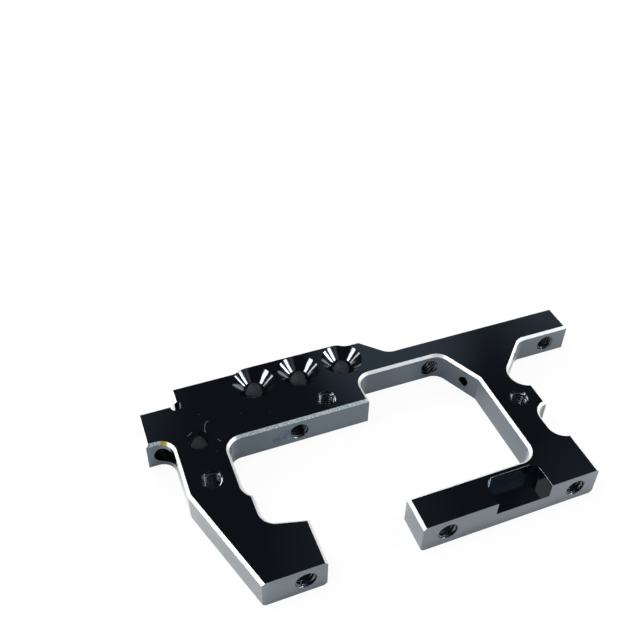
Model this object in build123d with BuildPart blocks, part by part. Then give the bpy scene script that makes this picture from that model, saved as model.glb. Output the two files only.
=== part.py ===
from build123d import *
from math import acos, copysign, degrees, radians, sin, sqrt, tan
import os

os.makedirs("parts", exist_ok=True)

# Mounting plate, milled from one piece of aluminium plate.
# It lies flat: the plain face is down at Z = 0 and the countersunk face is up.
# In the outline X runs from the end of the tab and Y from the front edge, where the
# foot, the arm and the right leg all end on one line.
# Sizes in millimetres.

# Plate
length = 97.05
depth = 49.6
thickness = 7.0
edge_break = 0.55
corner_r = 3.0

# Tab and the body's left end
tab_reach = 4.85
tab_height = 8.8
tab_below_top = 4.45
body_inset = 2.9
corner_relief_r = 1.15
corner_relief_in = 0.1
corner_relief_down = 0.6

# Countersunk row for M4 flat-head screws
clearance_r = 2.2
countersink_r = 4.4
countersink_angle = 90
row_start = 24.6
row_pitch = 10.0
row_count = 3
row_below_top = 5.05

# Raised pad behind the row, with a rounded step at each end
pad_before_row = 0.6
pad_short_of_row = 0.3
pad_rise_left = 0.9
pad_rise_right = 1.1
step_r = 3.0
shoulder_flat = 2.4

# Body, slot and bridge
body_right = 45.5
body_height = 18.05
bridge_height = 4.85
slant_run = 4.5
slant_drop = 9.5

# Left leg and its foot
leg_width = 9.95
leg_undercut = 1.35
leg_undercut_top = 20.3
leg_bend = 21.6
leg_bend_r = 3.0
foot_start = 12.0
foot_end = 24.0
foot_height = 9.4
foot_slope = 14.2

# Right leg and the arm
right_leg_inner = 69.95
right_leg_width = 9.85
arm_start = 42.3
arm_height = 7.0

# Gusset, scallop and notch in the right leg's outer edge
gusset = 4.6
scallop_r = 3.5
scallop_below_bar = 9.0
notch_land = 5.75
notch_r = 3.0
notch_flat = 2.7

# Bar at the right end
bar_height = 7.0
bar_below_top = 6.1

# Plain hole in the left leg
plain_hole_r = 2.25
plain_hole_in = 5.15
plain_hole_below_top = 16.0

# M4 holes, drilled at 3.3 mm for tapping, with a broken mouth and a 118 degree drill point
tap_r = 1.65
tap_mouth_r = 2.05
drill_point = 118
blind_tap_depth = 10.0

# Tapped holes through the plate
body_tap_x = 37.3
body_tap_up = 3.45
left_leg_tap_in = 5.05
left_leg_tap_below_hole = 10.1
right_leg_tap_in = 4.8
right_leg_tap_below_scallop = 2.65

# Tapped holes in the rear edge
tab_tap_in = 3.3
tab_tap_depth = 11.0
root_tap_before_leg = 6.75
side_tap_before_leg = 0.4
side_tap_depth = 11.5
bar_end_tap_in = 5.15
bar_tap_pitch = 10.0
bar_blind_tap_depth = 7.0

# Tapped holes in the front edge and in the body's front wall
foot_tap_in = 4.0
arm_tap_in = 5.3
leg_end_tap_in = 4.6
body_edge_tap_x = 30.1

# Pocket in the arm's countersunk face, open to the front
pocket_before_leg = 0.7
pocket_width = 11.55
pocket_wall = 1.3
pocket_depth = 3.25
pocket_r = 2.0

# Levels and walls that follow from the sizes above
left_shoulder = depth - pad_rise_left
right_shoulder = depth - pad_rise_right
tab_top = left_shoulder - tab_below_top
tab_bottom = tab_top - tab_height
body_left = tab_reach + body_inset
body_bottom = depth - body_height
bar_top = depth - bar_below_top
bar_bottom = bar_top - bar_height
slot_top = bar_top - bridge_height
leg_inner = tab_reach + leg_width
leg_lower_inner = leg_inner + leg_undercut
right_leg_outer = right_leg_inner + right_leg_width
foot_root = foot_height + (foot_end - leg_lower_inner) * tan(radians(foot_slope))
pad_start = row_start - pad_before_row
pad_end = row_start + (row_count - 1) * row_pitch - pad_short_of_row

# The undercut's arc ends where it meets the lower wall
undercut_end = leg_undercut_top - sqrt(corner_r**2 - (corner_r - leg_undercut) ** 2)

# The scallop's arc is tangent to the 45 degree gusset and ends on the leg's outer wall
gusset_foot = bar_bottom - gusset
scallop_y = bar_bottom - scallop_below_bar
scallop_x = right_leg_outer + scallop_y - gusset_foot + scallop_r * sqrt(2)
scallop_end = scallop_y - sqrt(scallop_r**2 - (scallop_x - right_leg_outer) ** 2)
scallop_tangent = (scallop_x - scallop_r / sqrt(2), scallop_y + scallop_r / sqrt(2))
notch_middle = scallop_end - notch_land - notch_r - notch_flat / 2

# The outline's own corner on the plain face, with the plate's middle at the origin
outline_plane = Plane(origin=(-length / 2, -depth / 2, 0))


def on_face(x, y):
    """Plane on the countersunk face, at a point of the outline's frame."""
    return Plane(origin=(x - length / 2, y - depth / 2, thickness))


def under_face(x, y):
    """Plane on the plain face, at a point of the outline's frame, its normal down."""
    return Plane(origin=(x - length / 2, y - depth / 2, 0), z_dir=(0, 0, -1))


def on_edge(x, y, outward):
    """Plane at mid thickness on a wall that faces along Y, its normal out of the wall."""
    return Plane(
        origin=(x - length / 2, y - depth / 2, thickness / 2),
        x_dir=(1, 0, 0),
        z_dir=(0, outward, 0),
    )


def step_turn(rise):
    """Angle of each of the two arcs that make a rounded step of this height."""
    return acos(1 - abs(rise) / (2 * step_r))


def step_run(rise):
    """Length along the edge of a rounded step of this height."""
    return 2 * step_r * sin(step_turn(rise))


def rounded_step(start, rise):
    """Step in an edge that runs towards -X, made of two tangent arcs."""
    turn = degrees(copysign(step_turn(rise), rise))
    first = JernArc(start, (-1, 0), step_r, -turn)
    return JernArc(first @ 1, first % 1, step_r, turn)


def tapped_hole(plane, hole_depth):
    """Tapping hole with a broken mouth."""
    with Locations(plane):
        CounterSinkHole(tap_r, tap_mouth_r, hole_depth, countersink_angle)


def blind_tapped_hole(plane, hole_depth):
    """Tapping hole with a broken mouth that ends in a drill point."""
    tapped_hole(plane, hole_depth)
    with Locations(plane.offset(-hole_depth)):
        Cone(
            bottom_radius=0,
            top_radius=tap_r,
            height=tap_r / tan(radians(drill_point / 2)),
            align=(Align.CENTER, Align.CENTER, Align.MAX),
            mode=Mode.SUBTRACT,
        )


def far_mouth(plane):
    """Broken mouth at the far end of a through hole."""
    with Locations(plane):
        Cone(
            bottom_radius=tap_r,
            top_radius=tap_mouth_r,
            height=(tap_mouth_r - tap_r) / tan(radians(countersink_angle / 2)),
            align=(Align.CENTER, Align.CENTER, Align.MAX),
            mode=Mode.SUBTRACT,
        )


with BuildPart() as mount_plate:
    with BuildSketch(outline_plane):
        with BuildLine():
            # Foot and the left leg's inner wall, up to the undercut
            FilletPolyline(
                (foot_start, 0),
                (foot_end, 0),
                (foot_end, foot_height),
                (leg_lower_inner, foot_root),
                (leg_lower_inner, undercut_end),
                radius=(0, 0, corner_r),
            )
            RadiusArc((leg_lower_inner, undercut_end), (leg_inner, leg_undercut_top), corner_r)

            # Body's front edge, the slot, the arm and the right leg up to the scallop
            FilletPolyline(
                (leg_inner, leg_undercut_top),
                (leg_inner, body_bottom),
                (body_right, body_bottom),
                (body_right, slot_top),
                (right_leg_inner - slant_run, slot_top),
                (right_leg_inner, slot_top - slant_drop),
                (right_leg_inner, arm_height),
                (arm_start, arm_height),
                (arm_start, 0),
                (right_leg_outer, 0),
                (right_leg_outer, scallop_end),
                radius=(corner_r, 0, corner_r, corner_r, 0, corner_r, 0, 0, 0),
            )
            RadiusArc((right_leg_outer, scallop_end), scallop_tangent, scallop_r)

            # Gusset, bar and the 45 degree ramp up to the body's rear edge
            step_foot = pad_end + step_run(pad_rise_right)
            shoulder_end = step_foot + shoulder_flat
            ramp_foot = shoulder_end + right_shoulder - bar_top
            FilletPolyline(
                scallop_tangent,
                (right_leg_outer + gusset, bar_bottom),
                (length, bar_bottom),
                (length, bar_top),
                (ramp_foot, bar_top),
                (shoulder_end, right_shoulder),
                (step_foot, right_shoulder),
                radius=(corner_r, 0, 0, corner_r, 0),
            )

            # Raised pad
            pad_up = rounded_step((step_foot, right_shoulder), pad_rise_right)
            Line(pad_up @ 1, (pad_start, depth))
            pad_down = rounded_step((pad_start, depth), -pad_rise_left)

            # Body's left end, the tab and the left leg's outer wall
            FilletPolyline(
                pad_down @ 1,
                (body_left, left_shoulder),
                (body_left, tab_top),
                (0, tab_top),
                (0, tab_bottom),
                (tab_reach, tab_bottom),
                (tab_reach, leg_bend),
                (foot_start, 0),
                radius=(0, 0, 0, 0, corner_r, leg_bend_r),
            )
        make_face()
        with Locations((right_leg_outer, notch_middle)):
            SlotCenterToCenter(notch_flat, 2 * notch_r, rotation=90, mode=Mode.SUBTRACT)
    extrude(amount=thickness)

    # Both rims are broken all round, apart from the edges on the front line
    rims = mount_plate.faces().filter_by(Axis.Z).edges()
    chamfer(rims.filter_by(lambda rim: rim.center().Y > edge_break - depth / 2), edge_break)

    # Relief hole in the corner between the tab and the body
    with Locations(on_face(body_left + corner_relief_in, tab_top - corner_relief_down)):
        Hole(corner_relief_r)

    # Countersunk row and the plain hole
    row = [on_face(row_start + n * row_pitch, depth - row_below_top) for n in range(row_count)]
    with Locations(*row):
        CounterSinkHole(clearance_r, countersink_r, counter_sink_angle=countersink_angle)
    with Locations(on_face(tab_reach + plain_hole_in, depth - plain_hole_below_top)):
        Hole(plain_hole_r)

    # Tapped holes through the plate
    left_leg_tap = (tab_reach + left_leg_tap_in, depth - plain_hole_below_top - left_leg_tap_below_hole)
    right_leg_tap = (right_leg_outer - right_leg_tap_in, scallop_end - right_leg_tap_below_scallop)
    for x, y in ((body_tap_x, body_bottom + body_tap_up), left_leg_tap, right_leg_tap):
        tapped_hole(on_face(x, y), thickness)
        far_mouth(under_face(x, y))

    # Tapped holes in the tab's and the bar's rear edges
    root_tap = right_leg_inner - root_tap_before_leg
    side_tap = right_leg_inner - side_tap_before_leg
    bar_end_tap = length - bar_end_tap_in
    tapped_hole(on_edge(tab_tap_in, tab_top, 1), tab_tap_depth)
    tapped_hole(on_edge(root_tap, bar_top, 1), bridge_height)
    far_mouth(on_edge(root_tap, slot_top, -1))
    blind_tapped_hole(on_edge(side_tap, bar_top, 1), side_tap_depth)
    blind_tapped_hole(on_edge(bar_end_tap - bar_tap_pitch, bar_top, 1), bar_blind_tap_depth)
    tapped_hole(on_edge(bar_end_tap, bar_top, 1), bar_height)
    far_mouth(on_edge(bar_end_tap, bar_bottom, -1))

    # Tapped holes in the front edge and in the body's front wall
    arm_tap = arm_start + arm_tap_in
    tapped_hole(on_edge(foot_end - foot_tap_in, 0, -1), foot_root)
    tapped_hole(on_edge(arm_tap, 0, -1), arm_height)
    far_mouth(on_edge(arm_tap, arm_height, 1))
    blind_tapped_hole(on_edge(right_leg_outer - leg_end_tap_in, 0, -1), blind_tap_depth)
    blind_tapped_hole(on_edge(body_edge_tap_x, body_bottom, -1), blind_tap_depth)

    # Pocket in the arm
    with BuildSketch(outline_plane.offset(thickness - pocket_depth)):
        with Locations((right_leg_inner - pocket_before_leg, 0)):
            Rectangle(pocket_width, arm_height - pocket_wall, align=(Align.MAX, Align.MIN))
        fillet(vertices().group_by(Axis.Y)[-1], pocket_r)
    extrude(amount=pocket_depth, mode=Mode.SUBTRACT)

mount_plate.part.label = "mount_plate"
export_step(mount_plate.part, "parts/mount_plate.step")
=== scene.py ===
import math

import bmesh
import bpy
from mathutils import Euler, Matrix, Vector


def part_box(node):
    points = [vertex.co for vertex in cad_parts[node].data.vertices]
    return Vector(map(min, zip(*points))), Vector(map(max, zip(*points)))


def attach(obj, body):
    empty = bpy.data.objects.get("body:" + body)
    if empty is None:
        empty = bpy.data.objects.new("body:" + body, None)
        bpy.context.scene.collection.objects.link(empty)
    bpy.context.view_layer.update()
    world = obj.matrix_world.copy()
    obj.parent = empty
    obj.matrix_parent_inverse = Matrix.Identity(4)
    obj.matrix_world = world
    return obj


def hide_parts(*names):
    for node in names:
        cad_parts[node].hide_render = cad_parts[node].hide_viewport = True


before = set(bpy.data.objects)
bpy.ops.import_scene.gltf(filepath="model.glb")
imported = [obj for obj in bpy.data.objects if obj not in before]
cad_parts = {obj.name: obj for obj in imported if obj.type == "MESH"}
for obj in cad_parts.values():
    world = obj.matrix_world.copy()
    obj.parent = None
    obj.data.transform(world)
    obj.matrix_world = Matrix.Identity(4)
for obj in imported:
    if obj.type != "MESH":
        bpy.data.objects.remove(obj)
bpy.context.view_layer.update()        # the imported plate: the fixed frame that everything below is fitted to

bl_info = {
    "name": "Machined mounting plate",
    "version": (1, 0, 0),
    "blender": (4, 5, 0),
    "location": "3D View > Sidebar > Mounting plate",
    "description": "Cuts the threads of a milled mounting plate and gives it its finishes and its stage",
    "category": "Object",
}

MM = 0.001
NODE = "mount_plate"
PLATE = "machined_plate"
CUTTERS = ("end_drills", "thread_cutters")
CORNER, FAR_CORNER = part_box(NODE)

# The plate's thickness and half of it, in mm.
THICK = round((FAR_CORNER[2] - CORNER[2]) / MM, 3)
HALF = THICK / 2

# The ways that the taps go in: from the face, from the rear edges and from the front walls.
DOWN = (0, 0, -1)
FORWARD = (0, -1, 0)
BACK = (0, 1, 0)

# Tapped holes, in mm from the plate's lower left front corner: the middle of the mouth, the
# way the tap goes in, the length of the hole, and whether it goes right through.
TAPPED_HOLES = {
    "body": ((37.3, 35.0, THICK), DOWN, THICK, True),
    "left_leg": ((9.9, 23.5, THICK), DOWN, THICK, True),
    "right_leg": ((75.0, 21.39, THICK), DOWN, THICK, True),
    "tab": ((3.3, 44.25, HALF), FORWARD, 10.6, True),
    "bar_root": ((63.2, 43.5, HALF), FORWARD, 4.85, True),
    "bar_side": ((69.55, 43.5, HALF), FORWARD, 9.0, False),
    "bar_blind": ((81.9, 43.5, HALF), FORWARD, 7.0, False),
    "bar_end": ((91.9, 43.5, HALF), FORWARD, 7.0, True),
    "foot": ((20.0, 0.0, HALF), BACK, 11.4, True),
    "arm": ((47.6, 0.0, HALF), BACK, 7.0, True),
    "leg_end": ((75.2, 0.0, HALF), BACK, 10.0, False),
    "body_edge": ((30.1, 31.55, HALF), BACK, 10.0, False),
}

# Holes whose end is drilled open, one through the slot's rounded corner and one wide enough to
# take the thread away: how far before and behind the end of the hole's length the drill cuts, in
# mm, and how much larger than the hole its radius is.
DRILLED_ENDS = (
    ("bar_root", 0.3, 2.2, 0.02),
    ("tab", 4.0, 2.2, 0.37),
)

# How deep the thread's cutter reaches into the hole, off its wall, in mm, and how far the thread's
# flanks slant from the square, in degrees.
CUTTER_OVERLAP = 0.1
FLANK_SLANT = 30.0

# Countersunk holes, the plain hole and the corner relief: the middle and the largest radius, in mm.
PLAIN_HOLES = (
    ((24.6, 44.55), 4.4),
    ((34.6, 44.55), 4.4),
    ((44.6, 44.55), 4.4),
    ((10.0, 33.6), 2.25),
    ((7.85, 43.65), 1.15),
)

# A face belongs to a tapped hole within this radius, this far before its mouth and this far past
# its end, and to a plain hole this far past its radius, in mm. It doesn't if it lies across the
# hole, with its normal within about 14 degrees of the axis.
TAPPED_REACH = 2.07
BEFORE_MOUTH = 0.01
PAST_END = 2.3
PAST_WALL = 0.02
ACROSS = 0.97

# A face is an edge break if its normal rises or falls this much and it lies this near to the face
# or the underside, in mm.
SLANTED = (0.6, 0.8)
BREAK_REACH = 0.6

# Two faces lie in one plane up to the first angle, and the edge between them is sharp past the
# second, which is more than a groove turns from one step to the next. Both are in degrees.
FLAT = 0.1
SHARP = 20.0

# The stretch of the plate whose front edges the cutter chattered along, from left to right, in mm,
# and how squarely a break there faces the front.
# Breaks there get a painted teal-grey reflection with painted glints.
CHATTER = (0.0, 45.0)
FRONTAL = 0.6
SIDEWAYS = 0.2

# The pocket in the arm: its left, right and rear wall, and how near to them its rim lies, in mm.
# Only the parts of the rim that face this squarely to the front or to the left are bare.
POCKET = (57.7, 69.25, 5.7)
RIM_REACH = 0.1
RIM_FACING = 0.68

# Scratches on the face, each as the points that it passes in mm, and the specks of dust on it. The
# third line is not a scratch but a highlight painted on the plain hole's rim.
SCRATCHES_AND_PAINTED_GLINT = (
    ((13.0, 37.6), (12.3, 37.3), (11.9, 36.2), (11.7, 35.4), (11.2, 35.0)),
    ((11.7, 35.4), (12.1, 33.8)),
    # A highlight painted on the plain hole's rim.
    ((8.2, 35.2), (9.2, 35.85)),
    ((13.5, 32.5), (14.0, 31.7)),
)
DUST = ((11.73, 39.89), (12.62, 29.68), (19.66, 37.31), (25.25, 35.56))

# The middle of the yellow reflection painted on the break of the tab's edge, and the line that the
# smudge on the body's front wall lies along, in mm.
PAINTED_YELLOW_GLINT = (3.3, 35.1, 6.7)
SMUDGE = ((25.3, 31.55, 2.8), (27.4, 31.55, 3.9))

# Lamps, as the countersinks and threads mirror them: the way to each as azimuth and elevation in
# degrees, its width and height in degrees, and how bright it is, where 1 is white.
LAMPS = (
    ("front_right", -36.0, 31.0, 17.0, 9.0, 12.0),
    ("right_above", -17.0, 50.0, 9.0, 26.0, 8.5),
    ("right", -8.0, 18.0, 11.0, 10.0, 17.0),
    ("left", 179.0, 26.0, 18.0, 26.0, 9.0),
    ("left_above", 172.0, 66.0, 12.0, 16.0, 7.5),
    ("above", 60.0, 80.0, 16.0, 16.0, 5.0),
    ("rear_left", 146.0, 14.0, 7.0, 22.0, 5.0),
    ("rear", 116.0, 35.0, 36.0, 18.0, 8.0),
    ("rear_right", 42.0, 10.0, 20.0, 14.0, 1.6),
)

# Soft glows in the dim room, as the plate's face and threads mirror them: the way to each as
# azimuth and elevation in degrees, how far it reaches in degrees, how bright its middle is, and
# its colour.
COOL = "#e0eefa"
WARM = "#ffe8d4"
GLOWS = (
    (61.0, 43.5, 7.0, 0.22, COOL),
    (62.0, 56.5, 7.0, 0.05, COOL),
    (44.0, 34.0, 12.0, 0.20, COOL),
    (36.0, 50.0, 7.0, 0.06, COOL),
    (94.0, 46.0, 9.0, 0.12, COOL),
    (-50.0, 52.0, 18.0, 0.25, COOL),
    (-110.0, 78.0, 34.0, 0.35, COOL),
    (130.0, 52.0, 18.0, 1.10, WARM),
    (-70.0, 30.0, 16.0, 0.60, COOL),
)

# Half the table's width, in metres, and how far its top lies under the plate, in mm, so that the
# two don't share a plane.
TABLE_REACH = 2.0
TABLE_GAP = 0.02


class PlateThreads(bpy.types.PropertyGroup):
    """Sizes of the M4 x 0.7 thread in the tapped holes"""

    drill_radius: bpy.props.FloatProperty(
        name="Drill radius", description="Radius of the hole that is tapped",
        default=1.65 * MM, unit="LENGTH"
    )
    thread_radius: bpy.props.FloatProperty(
        name="Thread radius", description="Radius at the bottom of the groove",
        default=2.0 * MM, unit="LENGTH"
    )
    pitch: bpy.props.FloatProperty(
        name="Pitch", description="Distance from one turn to the next",
        default=0.7 * MM, unit="LENGTH"
    )
    root_flat: bpy.props.FloatProperty(
        name="Root flat", description="Width of the flat at the bottom of the groove",
        default=0.0875 * MM, unit="LENGTH"
    )
    run_out: bpy.props.FloatProperty(
        name="Run-out", description="Length at the bottom of a blind hole that the tap doesn't reach",
        default=1.3 * MM, unit="LENGTH"
    )
    face_lead: bpy.props.FloatProperty(
        name="Lead in the face", description="Turns that the groove starts outside a hole in the face",
        default=1.17
    )
    edge_lead: bpy.props.FloatProperty(
        name="Lead in the edges", description="Turns that the groove starts outside a hole in an edge",
        default=0.875
    )
    steps: bpy.props.IntProperty(
        name="Steps", description="Straight pieces in one turn of the groove", default=28
    )


class PlateFinish(bpy.types.PropertyGroup):
    """Colours and small sizes of the plate's surface"""

    oxide: bpy.props.StringProperty(
        name="Oxide", description="sRGB colour of the black oxide film", default="#0b0c0f"
    )
    tint: bpy.props.StringProperty(
        name="Tint", description="sRGB colour that the oxide film gives what it mirrors",
        default="#b4dcff"
    )
    hole_tint: bpy.props.StringProperty(
        name="Tint in holes", description="sRGB colour that the film in the holes gives what it mirrors",
        default="#dce8f4"
    )
    # Also the colour of the highlight painted on the plain hole's rim.
    scratch_and_painted_glint: bpy.props.StringProperty(
        name="Scratch", description="sRGB colour of the scratches and the dust on the face",
        default="#8a8f94"
    )
    # Also the width of the highlight painted on the plain hole's rim.
    scratch_and_painted_glint_width: bpy.props.FloatProperty(
        name="Scratch width", description="Width of the scratches on the face",
        default=0.07 * MM, unit="LENGTH"
    )
    dust_size: bpy.props.FloatProperty(
        name="Dust size", description="Size of the specks of dust on the face",
        default=0.12 * MM, unit="LENGTH"
    )
    smudge_size: bpy.props.FloatProperty(
        name="Smudge size", description="Reach of the smudge on the front wall",
        default=1.5 * MM, unit="LENGTH"
    )
    # Colour of a yellow reflection painted on the break of the tab's edge.
    painted_yellow_glint: bpy.props.StringProperty(
        name="Stain", description="sRGB colour of the stain on the tab's edge", default="#b0a040"
    )
    # Size of that painted yellow reflection.
    painted_yellow_glint_size: bpy.props.FloatProperty(
        name="Stain size", description="Radius of the stain on the tab's edge",
        default=1.0 * MM, unit="LENGTH"
    )
    bare: bpy.props.StringProperty(
        name="Bare metal", description="sRGB colour of the edges cut after anodising", default="#f1f4f5"
    )
    # Its teal-grey tone is a painted reflection of a bluish light.
    chattered: bpy.props.StringProperty(
        name="Chattered metal", description="sRGB colour of the edges where the cutter chattered",
        default="#a4babf"
    )
    pocket_edge: bpy.props.FloatProperty(
        name="Pocket edge", description="Width of the fine break on the pocket's rim",
        default=0.018 * MM, unit="LENGTH"
    )


class PlateStage(bpy.types.PropertyGroup):
    """Camera, floor and light"""

    camera_place: bpy.props.FloatVectorProperty(
        name="Camera place", description="Where the camera stands",
        default=(-55.645 * MM, -95.48 * MM, 133.41 * MM), subtype="TRANSLATION", unit="LENGTH"
    )
    camera_turn: bpy.props.FloatVectorProperty(
        name="Camera turn", description="Camera's rotation",
        default=(math.radians(49.9603), math.radians(-1.5545), math.radians(-21.5728)),
        subtype="EULER", unit="ROTATION"
    )
    focal_length: bpy.props.FloatProperty(
        name="Focal length", description="Lens for a sensor 36 mm wide", default=46.125, unit="CAMERA"
    )
    shift: bpy.props.FloatVectorProperty(
        name="Shift", description="Shift of the lens, as a share of the frame's width",
        default=(-0.0175, -0.0519), size=2
    )
    floor: bpy.props.StringProperty(
        name="Floor", description="sRGB colour of the table", default="#ffffff"
    )
    floor_glow: bpy.props.FloatProperty(
        name="Floor glow", description="Share of the table's colour that the camera sees unshaded",
        default=0.92, subtype="FACTOR"
    )
    room: bpy.props.StringProperty(
        name="Room", description="sRGB colour of the dim room over the table, which the plate mirrors",
        default="#1c1f24"
    )
    even_light: bpy.props.FloatProperty(
        name="Even light", description="Strength of the light on matt surfaces, where 1 makes them white",
        default=0.14
    )
    lamp_distance: bpy.props.FloatProperty(
        name="Lamp distance", description="Distance of the lamps from the plate",
        default=1.5, unit="LENGTH"
    )


def linear(code):
    """Linear colour, with alpha, of an sRGB hex code."""
    values = [int(code[n:n + 2], 16) / 255 for n in (1, 3, 5)]
    return [v / 12.92 if v <= 0.04045 else ((v + 0.055) / 1.055) ** 2.4 for v in values] + [1.0]


def node(tree, kind, sockets=None, **settings):
    """Adds a node with its settings; each socket gets a value or a link from another node's output."""
    made = tree.nodes.new(kind)
    for name, value in settings.items():
        setattr(made, name, value)
    for name, value in (sockets or {}).items():
        if isinstance(value, bpy.types.NodeSocket):
            tree.links.new(value, made.inputs[name])
        else:
            made.inputs[name].default_value = value
    return made


def point(x, y, z):
    """Point of the row frame, in metres, from mm measured from the plate's corner."""
    return CORNER + Vector((x, y, z)) * MM


def placed(name, data):
    """Object with this data, linked to the scene."""
    thing = bpy.data.objects.new(name, data)
    bpy.context.scene.collection.objects.link(thing)
    return thing


def apply_modifiers(thing):
    """Gives the object the plain mesh that its modifiers leave, and takes them off."""
    before = thing.data
    graph = bpy.context.evaluated_depsgraph_get()
    graph.update()
    thing.data = bpy.data.meshes.new_from_object(thing.evaluated_get(graph))
    thing.modifiers.clear()
    bpy.data.meshes.remove(before)


# Threads and drilled ends

def thread_tree():
    """Geometry nodes for a tapping cutter: a trapezoid swept along a right-hand helix."""
    tree = bpy.data.node_groups.new("tapped_thread", "GeometryNodeTree")
    face = tree.interface
    face.new_socket(name="Groove", in_out="OUTPUT", socket_type="NodeSocketGeometry")
    for name in ("Drill Radius", "Thread Radius", "Pitch", "Root Flat", "Length"):
        face.new_socket(name=name, in_out="INPUT", socket_type="NodeSocketFloat")
    face.new_socket(name="Steps", in_out="INPUT", socket_type="NodeSocketInt")
    face.new_socket(name="Mouth", in_out="INPUT", socket_type="NodeSocketVector")
    face.new_socket(name="Turn", in_out="INPUT", socket_type="NodeSocketRotation")
    face.new_socket(name="Finish", in_out="INPUT", socket_type="NodeSocketMaterial")
    given = node(tree, "NodeGroupInput").outputs
    outer = given["Thread Radius"]
    root = given["Root Flat"]
    length = given["Length"]

    # The cutter reaches from a little inside the hole's wall to the bottom of the groove.
    off_wall = {0: given["Drill Radius"], 1: CUTTER_OVERLAP * MM}
    inner = node(tree, "ShaderNodeMath", off_wall, operation="SUBTRACT").outputs[0]
    height = node(tree, "ShaderNodeMath", {0: outer, 1: inner}, operation="SUBTRACT").outputs[0]
    total = node(tree, "ShaderNodeMath", {0: outer, 1: inner}, operation="ADD").outputs[0]
    middle = node(tree, "ShaderNodeMath", {0: total, 1: 0.5}, operation="MULTIPLY").outputs[0]
    slope = 2 * math.tan(math.radians(FLANK_SLANT))
    flanks = node(tree, "ShaderNodeMath", {0: height, 1: slope}, operation="MULTIPLY").outputs[0]
    base = node(tree, "ShaderNodeMath", {0: root, 1: flanks}, operation="ADD").outputs[0]
    turns = node(tree, "ShaderNodeMath", {0: length, 1: given["Pitch"]}, operation="DIVIDE").outputs[0]

    helix = node(tree, "GeometryNodeCurveSpiral", {
        "Resolution": given["Steps"],
        "Rotations": turns,
        "Start Radius": middle,
        "End Radius": middle,
        "Height": length,
    })
    upright = node(tree, "GeometryNodeSetCurveNormal", {"Curve": helix.outputs[0]}, mode="Z_UP")
    groove = node(tree, "GeometryNodeCurvePrimitiveQuadrilateral", {
        "Height": height, "Bottom Width": base, "Top Width": root, "Offset": 0.0
    }, mode="TRAPEZOID")
    outwards = node(tree, "GeometryNodeTransform", {
        "Geometry": groove.outputs[0], "Rotation": Euler((0, 0, math.radians(-90)))
    })
    swept = node(tree, "GeometryNodeCurveToMesh", {
        "Curve": upright.outputs[0], "Profile Curve": outwards.outputs[0], "Fill Caps": True
    })
    seated = node(tree, "GeometryNodeTransform", {
        "Geometry": swept.outputs[0], "Translation": given["Mouth"], "Rotation": given["Turn"]
    })
    real = node(tree, "GeometryNodeRealizeInstances", {"Geometry": seated.outputs[0]})
    finished = node(tree, "GeometryNodeSetMaterial", {
        "Geometry": real.outputs[0], "Material": given["Finish"]
    })
    node(tree, "NodeGroupOutput", {"Groove": finished.outputs[0]})
    return tree


def thread_mesh(tree, sizes, hole, finish):
    """Plain mesh of one hole's thread groove, which starts a little outside the mouth."""
    mouth, inward, length, through = TAPPED_HOLES[hole]
    start = (sizes.face_lead if inward == DOWN else sizes.edge_lead) * sizes.pitch
    way = Vector(inward)
    values = {
        "Drill Radius": sizes.drill_radius,
        "Thread Radius": sizes.thread_radius,
        "Pitch": sizes.pitch,
        "Root Flat": sizes.root_flat,
        "Length": start + length * MM + (start if through else -sizes.run_out),
        "Steps": sizes.steps,
        "Mouth": tuple(point(*mouth) - way * start),
        "Turn": tuple(way.to_track_quat("Z", "Y").to_euler()),
        "Finish": finish,
    }
    holder = placed("groove", bpy.data.meshes.new("groove"))
    modifier = holder.modifiers.new("thread", "NODES")
    modifier.node_group = tree
    for item in tree.interface.items_tree:
        if item.in_out == "INPUT":
            modifier[item.identifier] = values[item.name]
    apply_modifiers(holder)
    mesh = holder.data
    bpy.data.objects.remove(holder)
    if not mesh.polygons:
        raise RuntimeError("the thread of hole " + hole + " came out empty")
    return mesh


def end_drills(sizes):
    """The drills' cylinders at the ends of the holes that are drilled open."""
    shape = bmesh.new()
    for hole, before, behind, larger in DRILLED_ENDS:
        mouth, inward, length = TAPPED_HOLES[hole][:3]
        way = Vector(inward)
        middle = point(*mouth) + way * (length + (behind - before) / 2) * MM
        place = Matrix.Translation(middle) @ way.to_track_quat("Z", "Y").to_matrix().to_4x4()
        radius = sizes.drill_radius + larger * MM
        bmesh.ops.create_cone(
            shape, cap_ends=True, segments=2 * sizes.steps, radius1=radius, radius2=radius,
            depth=(before + behind) * MM, matrix=place,
        )
    return shape


class PLATE_OT_threads(bpy.types.Operator):
    """Makes the cutters for the threads and for the ends that are drilled open"""

    bl_idname = "plate.threads"
    bl_label = "Thread grooves"

    def execute(self, context):
        sizes = context.scene.plate_threads
        tree = thread_tree()
        finish = made_material(*FINISHES[TAPPED], context.scene.plate_finish)
        grooves = bmesh.new()
        for hole in TAPPED_HOLES:
            mesh = thread_mesh(tree, sizes, hole, finish)
            grooves.from_mesh(mesh)
            bpy.data.meshes.remove(mesh)
        bmesh.ops.recalc_face_normals(grooves, faces=grooves.faces)
        for name, shape in zip(CUTTERS, (end_drills(sizes), grooves)):
            mesh = bpy.data.meshes.new(name)
            shape.to_mesh(mesh)
            shape.free()
            placed(name, mesh)
        return {"FINISHED"}


# Plate

def over_pocket(spot):
    """Whether a spot, in mm from the plate's corner, lies over the pocket or its rim."""
    left, right, rear = POCKET
    return left - RIM_REACH < spot.x < right + RIM_REACH and spot.y < rear + RIM_REACH


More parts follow.
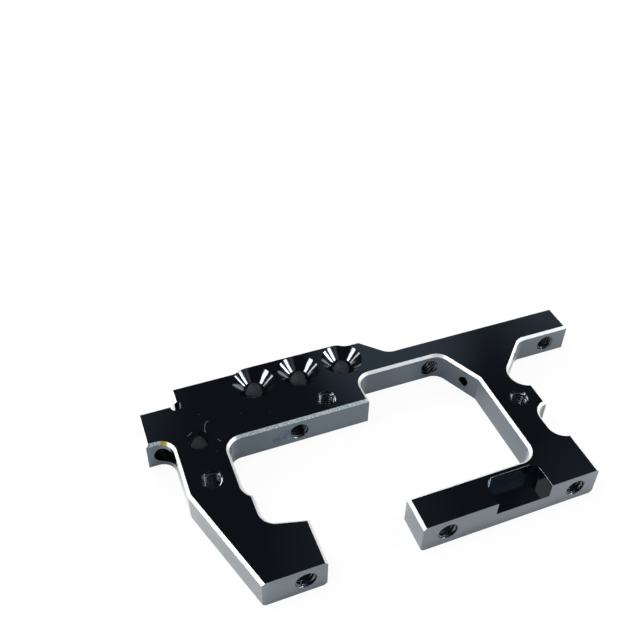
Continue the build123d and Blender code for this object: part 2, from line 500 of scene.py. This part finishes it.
def hole_finish(spots, facing):
    """Finish of a face in a hole, from its corners in mm and its normal, and None for other faces."""
    for mouth, inward, length, _ in TAPPED_HOLES.values():
        way = Vector(inward)
        offsets = [spot - Vector(mouth) for spot in spots]
        depths = [offset.dot(way) for offset in offsets]
        farthest = max((offset - way * depth).length for offset, depth in zip(offsets, depths))
        within = min(depths) > -BEFORE_MOUTH and max(depths) < length + PAST_END
        if within and farthest < TAPPED_REACH and abs(facing.dot(way)) < ACROSS:
            return TAPPED
    for (x, y), radius in PLAIN_HOLES:
        within = all(math.hypot(spot.x - x, spot.y - y) < radius + PAST_WALL for spot in spots)
        if within and abs(facing.z) < ACROSS:
            return BORED
    return None


def finish_number(face):
    """Which of the finishes a face has: edge breaks are bare, and the rest is under the oxide."""
    spots = [(corner.co - CORNER) / MM for corner in face.verts]
    spot = sum(spots, Vector()) / len(spots)
    facing = face.normal
    in_hole = hole_finish(spots, facing)
    if in_hole is not None:
        return in_hole
    upper = spot.z > THICK - BREAK_REACH
    slanted = SLANTED[0] < abs(facing.z) < SLANTED[1]
    if not slanted or not (upper or spot.z < BREAK_REACH):
        return MILLED
    if upper and over_pocket(spot) and min(facing.x, facing.y) > -RIM_FACING:
        return MILLED
    frontal = facing.y < -FRONTAL and abs(facing.x) < SIDEWAYS
    return CHATTERED if frontal and CHATTER[0] < spot.x < CHATTER[1] else BARE


def break_pocket_rim(shape, width):
    """Takes a fine break off the edge between the pocket's walls and the face."""
    rim = []
    for edge in shape.edges:
        ends = [(corner.co - CORNER) / MM for corner in edge.verts]
        on_top = all(end.z > THICK - 0.001 for end in ends)
        over = all(over_pocket(end) for end in ends)
        if on_top and over and edge.calc_face_angle(0) > math.radians(SHARP):
            rim.append(edge)
    bmesh.ops.bevel(
        shape, geom=rim, offset=width, segments=1, affect="EDGES", profile=0.5, clamp_overlap=True
    )


def flatten(shape):
    """Joins the triangles that lie in one plane."""
    limit = math.radians(FLAT)
    bmesh.ops.dissolve_limit(shape, angle_limit=limit, verts=shape.verts, edges=shape.edges)


def drop_slivers(shape):
    """Keeps the largest part: the tap cuts thin slivers of thread free in the slot's rounded corner."""
    left = set(shape.faces)
    parts = []
    while left:
        part = [left.pop()]
        for face in part:
            beside = {other for edge in face.edges for other in edge.link_faces} & left
            left -= beside
            part += beside
        parts.append(part)
    parts.sort(key=len)
    loose = [face for part in parts[:-1] for face in part]
    bmesh.ops.delete(shape, geom=loose, context="FACES")


def plate_copy(rim_width):
    """Mesh of the plate's copy, its triangles merged and the pocket's rim broken this wide."""
    shape = bmesh.new()
    shape.from_mesh(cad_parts[NODE].data)
    bmesh.ops.remove_doubles(shape, verts=shape.verts, dist=0.0001 * MM)
    flatten(shape)
    break_pocket_rim(shape, rim_width)
    mesh = bpy.data.meshes.new(PLATE)
    shape.to_mesh(mesh)
    shape.free()
    if "custom_normal" in mesh.attributes:
        mesh.attributes.remove(mesh.attributes["custom_normal"])
    return mesh


def give_finishes(mesh):
    """Gives every face its finish, and marks the sharp edges."""
    shape = bmesh.new()
    shape.from_mesh(mesh)
    flatten(shape)
    drop_slivers(shape)
    for face in shape.faces:
        face.material_index = finish_number(face)
        face.smooth = True
    shape.to_mesh(mesh)
    shape.free()
    mesh.set_sharp_from_angle(angle=math.radians(SHARP))


def round_crests(mesh):
    """Lets the shading run on over the crests and roots of the threads, so that they look rounded."""
    shape = bmesh.new()
    shape.from_mesh(mesh)
    for edge in shape.edges:
        if all(face.material_index == TAPPED for face in edge.link_faces):
            edge.smooth = True
    shape.to_mesh(mesh)
    shape.free()


class PLATE_OT_body(bpy.types.Operator):
    """Copies the plate, cuts its threads and gives every face its finish"""

    bl_idname = "plate.body"
    bl_label = "Plate"

    def execute(self, context):
        finish = context.scene.plate_finish
        plate = placed(PLATE, plate_copy(finish.pocket_edge))
        uncut = len(plate.data.polygons)
        for name in CUTTERS:
            cut = plate.modifiers.new(name, "BOOLEAN")
            cut.operation = "DIFFERENCE"
            cut.solver = "MANIFOLD"
            cut.object = bpy.data.objects[name]
        apply_modifiers(plate)
        for name in CUTTERS:
            bpy.data.objects.remove(bpy.data.objects[name])
        if len(plate.data.polygons) < 2 * uncut:
            raise RuntimeError("the threads were not cut")

        plate.data.materials.clear()
        for name, surface in FINISHES:
            plate.data.materials.append(made_material(name, surface, finish))
        give_finishes(plate.data)
        round_crests(plate.data)
        even = plate.modifiers.new("even_faces", "WEIGHTED_NORMAL")
        even.weight = 100        # the largest faces keep their own direction
        even.keep_sharp = True
        apply_modifiers(plate)
        plate.data.name = PLATE
        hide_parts(NODE)
        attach(plate, "root")
        return {"FINISHED"}


# Finishes

def made_material(name, surface, group):
    """Material whose shader the surface function makes from a group's values; one that is there
    already is used again."""
    material = bpy.data.materials.get(name)
    if material is None:
        material = bpy.data.materials.new(name)
        material.use_nodes = True
        tree = material.node_tree
        tree.nodes.clear()
        shader = surface(tree, group)
        node(tree, "ShaderNodeOutputMaterial", {"Surface": shader.outputs[0]})
    return material


def grains(tree, size, shares=(1, 1, 1), detail=2.0):
    """Noise on the object's own coordinates. Its grains are this size in mm, and longer along an
    axis whose share is less than 1."""
    place = node(tree, "ShaderNodeTexCoord").outputs["Object"]
    scale = [share / (size * MM) for share in shares]
    spread = node(tree, "ShaderNodeMapping", {"Vector": place, "Scale": scale})
    noise = {"Vector": spread.outputs[0], "Scale": 1.0, "Detail": detail}
    return node(tree, "ShaderNodeTexNoise", noise).outputs[0]


def marks(tree, size, depth, shares=(1, 1, 1)):
    """Normal of a surface with a cutter's marks of this size and depth in mm."""
    height = grains(tree, size, shares)
    bumps = {"Height": height, "Strength": 1.0, "Distance": depth * MM}
    return node(tree, "ShaderNodeBump", bumps).outputs[0]


def fading(tree, distance, near, far):
    """1 up to the near distance, which falls to 0 at the far one."""
    return node(tree, "ShaderNodeMapRange", {
        "Value": distance, "From Min": near, "From Max": far, "To Min": 1.0, "To Max": 0.0
    }).outputs[0]


def near_line(tree, start, end, reach):
    """1 on the line between two points, which falls to 0 at this reach from it; both may be one point."""
    place = node(tree, "ShaderNodeTexCoord").outputs["Object"]
    along = end - start
    inverse = along / max(along.length_squared, 1e-12)
    off = node(tree, "ShaderNodeVectorMath", {0: place, 1: start}, operation="SUBTRACT").outputs[0]
    share = node(tree, "ShaderNodeVectorMath", {0: off, 1: inverse}, operation="DOT_PRODUCT")
    kept = node(tree, "ShaderNodeClamp", {"Value": share.outputs["Value"]}).outputs[0]
    foot = node(tree, "ShaderNodeVectorMath", {0: along, "Scale": kept}, operation="SCALE").outputs[0]
    gap = node(tree, "ShaderNodeVectorMath", {0: off, 1: foot}, operation="DISTANCE")
    return fading(tree, gap.outputs["Value"], 0.5 * reach, reach)


def wear_and_painted_glint(tree, finish):
    """Mask of the scratches and the dust on the face, and of a highlight painted on the plain hole's rim.
    Real hairlines are under 0.05 mm wide, and these are drawn a little wider, so that they show."""
    lines = [(first, second) for scratch_and_painted_glint in SCRATCHES_AND_PAINTED_GLINT for first, second in zip(scratch_and_painted_glint, scratch_and_painted_glint[1:])]
    strokes = [(first, second, finish.scratch_and_painted_glint_width) for first, second in lines]
    strokes += [(spot, spot, finish.dust_size) for spot in DUST]
    total = 0.0
    for first, second, width in strokes:
        mask = near_line(tree, point(*first, THICK), point(*second, THICK), width / 2)
        total = node(tree, "ShaderNodeMath", {0: mask, 1: total}, operation="MAXIMUM").outputs[0]
    return total


def smudge(tree, finish):
    """Mask of the mottled smudge beside the tap in the body's front wall: blots about 0.7 mm across
    that cover between a sixth and four fifths of the gloss."""
    first, second = SMUDGE
    there = near_line(tree, point(*first), point(*second), finish.smudge_size)
    dense = node(tree, "ShaderNodeMapRange", {
        "Value": grains(tree, 0.7), "From Min": 0.4, "From Max": 0.6, "To Min": 0.15, "To Max": 0.8
    }).outputs[0]
    return node(tree, "ShaderNodeMath", {0: there, 1: dense}, operation="MULTIPLY").outputs[0]


def milled_oxide(tree, finish):
    """Black anodised aluminium, milled and sealed: a hard, glossy dark film that mirrors the table in
    its walls and the dim room in its face, with the cutter's fine marks standing upright in the walls.
    The real marks are about 0.1 mm apart, and are drawn 0.25 mm apart so that they show. A few
    hairline scratches and specks of dust show grey on the face, and so does a highlight painted on the
    plain hole's rim."""
    # Grey on the face: the scratches, the dust and a painted highlight on the plain hole's rim.
    colour = node(tree, "ShaderNodeMix", {
        "Factor": wear_and_painted_glint(tree, finish), 6: linear(finish.oxide), 7: linear(finish.scratch_and_painted_glint)
    }, data_type="RGBA")
    wiped = node(tree, "ShaderNodeMath", {0: 1.0, 1: smudge(tree, finish)}, operation="SUBTRACT")
    return node(tree, "ShaderNodeBsdfPrincipled", {
        "Base Color": colour.outputs[2],
        "Metallic": 0.0,
        "Roughness": 0.09,
        "IOR": 2.0,
        "Specular Tint": linear(finish.tint),
        "Coat Weight": wiped.outputs[0],
        "Coat Roughness": 0.04,
        "Coat IOR": 1.6,
        "Normal": marks(tree, size=0.25, depth=0.0003, shares=(1, 1, 0.06)),
    })


def bore_oxide(tree, finish):
    """The same film in drilled and countersunk holes, where the cutter left it smooth and its marks,
    drawn coarser than the real ones, only soften what it mirrors."""
    return node(tree, "ShaderNodeBsdfPrincipled", {
        "Base Color": linear(finish.oxide),
        "Metallic": 0.0,
        "Roughness": 0.1,
        "IOR": 2.3,
        "Specular Tint": linear(finish.hole_tint),
        "Normal": marks(tree, size=0.35, depth=0.0012),
    })


def thread_oxide(tree, finish):
    """Tapped threads under the same black film: each ring mirrors a lamp as a thin bright line."""
    return node(tree, "ShaderNodeBsdfPrincipled", {
        "Base Color": linear(finish.oxide),
        "Metallic": 0.0,
        "Roughness": 0.12,
        "IOR": 2.3,
        "Specular Tint": linear(finish.hole_tint),
    })


def bare_edge(tree, finish):
    """Aluminium cut after anodising: bright bare metal whose fine cutter marks, drawn coarser than the
    real ones so that they show, scatter the light until it looks white. A yellow reflection is painted
    on the break of the tab's edge."""
    place = node(tree, "ShaderNodeTexCoord").outputs["Object"]
    # The yellow reflection painted on the break of the tab's edge.
    gap = node(tree, "ShaderNodeVectorMath", {0: place, 1: point(*PAINTED_YELLOW_GLINT)}, operation="DISTANCE")
    in_painted_glint = fading(tree, gap.outputs["Value"], finish.painted_yellow_glint_size * 0.6, finish.painted_yellow_glint_size)
    colour = node(tree, "ShaderNodeMix", {
        "Factor": in_painted_glint, 6: linear(finish.bare), 7: linear(finish.painted_yellow_glint)
    }, data_type="RGBA")
    return node(tree, "ShaderNodeBsdfPrincipled", {
        "Base Color": colour.outputs[2],
        "Metallic": 0.6,
        "Roughness": 0.5,
        "Normal": marks(tree, size=0.3, depth=0.0008),
    })


def chattered_edge_painted_sheen(tree, finish):
    """The same bare metal on the edges cut along the plate's length, where the cutter chattered. Its
    teal-grey tone is a painted reflection of a bluish light, and its bright specks about 0.3 mm across
    are painted glints."""
    # Painted glints: bright specks in the bare metal's colour.
    specks = node(tree, "ShaderNodeMapRange", {
        "Value": grains(tree, 0.3, detail=3.0),
        "From Min": 0.45, "From Max": 0.6, "To Min": 0.0, "To Max": 1.0
    })
    colour = node(tree, "ShaderNodeMix", {
        "Factor": specks.outputs[0], 6: linear(finish.chattered), 7: linear(finish.bare)
    }, data_type="RGBA")
    return node(tree, "ShaderNodeBsdfPrincipled", {
        "Base Color": colour.outputs[2],
        "Metallic": 0.6,
        "Roughness": 0.4,
        "Normal": marks(tree, size=0.3, depth=0.012),
    })


# The plate's finishes in the order of its material slots, and the number of each.
FINISHES = (
    ("black_anodised_milled", milled_oxide),
    ("black_anodised_bore", bore_oxide),
    ("black_anodised_thread", thread_oxide),
    ("bare_cut_aluminium", bare_edge),
    ("bare_chattered_aluminium_painted_sheen", chattered_edge_painted_sheen),
)
MILLED, BORED, TAPPED, BARE, CHATTERED = range(len(FINISHES))


# Stage

def table_cloth(tree, stage):
    """White matt table, which the camera sees nearly white where the plate shades it a little."""
    path = node(tree, "ShaderNodeLightPath").outputs
    seen = {0: path["Is Camera Ray"], 1: stage.floor_glow}
    share = node(tree, "ShaderNodeMath", seen, operation="MULTIPLY").outputs[0]
    cloth = node(tree, "ShaderNodeBsdfDiffuse", {"Color": linear(stage.floor)}).outputs[0]
    white = node(tree, "ShaderNodeEmission", {"Color": linear(stage.floor), "Strength": 1.0}).outputs[0]
    return node(tree, "ShaderNodeMixShader", {0: share, 1: cloth, 2: white})


def heading(azimuth, elevation):
    """Unit vector of an azimuth from +X and an elevation, in degrees."""
    across, up = math.radians(azimuth), math.radians(elevation)
    return Vector((math.cos(across) * math.cos(up), math.sin(across) * math.cos(up), math.sin(up)))


def dim_room(tree, stage):
    """Colour of the dim room with its soft glows."""
    looked = node(tree, "ShaderNodeTexCoord").outputs["Generated"]
    total = linear(stage.room)[:3]
    for azimuth, elevation, reach, brightness, colour in GLOWS:
        sides = {0: looked, 1: heading(azimuth, elevation)}
        near = node(tree, "ShaderNodeVectorMath", sides, operation="DOT_PRODUCT")
        soft = node(tree, "ShaderNodeMapRange", {
            "Value": near.outputs["Value"],
            "From Min": math.cos(math.radians(reach)),
            "From Max": 1.0,
            "To Min": 0.0,
            "To Max": brightness,
        }, interpolation_type="SMOOTHSTEP")
        glow = {0: linear(colour)[:3], "Scale": soft.outputs[0]}
        lit = node(tree, "ShaderNodeVectorMath", glow, operation="SCALE").outputs[0]
        total = node(tree, "ShaderNodeVectorMath", {0: lit, 1: total}, operation="ADD").outputs[0]
    return total


def room_light(stage):
    """World: white behind everything for the camera, a dim room with soft glows in the plate's gloss,
    and even light on matt surfaces."""
    world = bpy.data.worlds.new("room")
    world.use_nodes = True
    tree = world.node_tree
    tree.nodes.clear()
    path = node(tree, "ShaderNodeLightPath").outputs
    white = linear("#ffffff")
    lights = ((dim_room(tree, stage), 1.0), (white, stage.even_light), (white, 1.0))
    dim, even, plain = [
        node(tree, "ShaderNodeBackground", {"Color": colour, "Strength": strength}).outputs[0]
        for colour, strength in lights
    ]
    lit = node(tree, "ShaderNodeMixShader", {0: path["Is Diffuse Ray"], 1: dim, 2: even}).outputs[0]
    seen = node(tree, "ShaderNodeMixShader", {0: path["Is Camera Ray"], 1: lit, 2: plain}).outputs[0]
    node(tree, "ShaderNodeOutputWorld", {"Surface": seen})
    return world


def put_table(stage):
    """Makes the table under the plate."""
    shape = bmesh.new()
    bmesh.ops.create_grid(shape, x_segments=1, y_segments=1, size=TABLE_REACH)
    mesh = bpy.data.meshes.new("table")
    shape.to_mesh(mesh)
    shape.free()
    mesh.transform(Matrix.Translation((0, 0, -TABLE_GAP * MM)))
    mesh.materials.append(made_material("white_table", table_cloth, stage))
    floor = placed("table", mesh)


def put_lamps(distance):
    """Hangs the lamps at this distance, each as large and as bright as it looks from the plate."""
    for name, azimuth, elevation, width, height, brightness in LAMPS:
        way = heading(azimuth, elevation)
        lamp = bpy.data.lights.new("lamp_" + name, "AREA")
        lamp.shape = "RECTANGLE"
        lamp.size = 2 * distance * math.tan(math.radians(width / 2))
        lamp.size_y = 2 * distance * math.tan(math.radians(height / 2))
        lamp.energy = brightness * math.pi * lamp.size * lamp.size_y
        holder = placed("lamp_" + name, lamp)
        holder.location = way * distance
        holder.rotation_euler = way.to_track_quat("Z", "Y").to_euler()


def put_camera(stage):
    """Stands the camera where the photograph was taken from."""
    lens = bpy.data.cameras.new("camera")
    lens.sensor_width = 36
    lens.lens = stage.focal_length
    lens.shift_x, lens.shift_y = stage.shift
    lens.clip_start = 5 * MM
    camera = placed("camera", lens)
    camera.location = stage.camera_place
    camera.rotation_euler = stage.camera_turn
    bpy.context.scene.camera = camera


class PLATE_OT_stage(bpy.types.Operator):
    """Puts the plate on a white table in a dim room with a few lamps, and sets the camera"""

    bl_idname = "plate.stage"
    bl_label = "Stage"

    def execute(self, context):
        scene = context.scene
        put_table(scene.plate_stage)
        scene.world = room_light(scene.plate_stage)
        put_lamps(scene.plate_stage.lamp_distance)
        put_camera(scene.plate_stage)
        scene.view_settings.view_transform = "Standard"
        return {"FINISHED"}


class PLATE_PT_panel(bpy.types.Panel):
    """Lists the plate's steps and sizes"""

    bl_idname = "PLATE_PT_panel"
    bl_label = "Mounting plate"
    bl_space_type = "VIEW_3D"
    bl_region_type = "UI"
    bl_category = "Mounting plate"

    def draw(self, context):
        for name in GROUPS:
            group = getattr(context.scene, name)
            box = self.layout.box()
            for size in group.__annotations__:
                box.prop(group, size)
        for step in (PLATE_OT_threads, PLATE_OT_body, PLATE_OT_stage):
            self.layout.operator(step.bl_idname)


GROUPS = {"plate_threads": PlateThreads, "plate_finish": PlateFinish, "plate_stage": PlateStage}
CLASSES = (*GROUPS.values(), PLATE_OT_threads, PLATE_OT_body, PLATE_OT_stage, PLATE_PT_panel)


def register():
    """Adds the steps, the panel and the groups of sizes."""
    for each in CLASSES:
        bpy.utils.register_class(each)
    for name, group in GROUPS.items():
        setattr(bpy.types.Scene, name, bpy.props.PointerProperty(type=group))


def unregister():
    """Takes them out again."""
    for name in GROUPS:
        delattr(bpy.types.Scene, name)
    for each in reversed(CLASSES):
        bpy.utils.unregister_class(each)


def main():
    """Makes everything in order."""
    register()
    bpy.ops.plate.threads()
    bpy.ops.plate.body()
    bpy.ops.plate.stage()


if __name__ == "__main__":
    main()
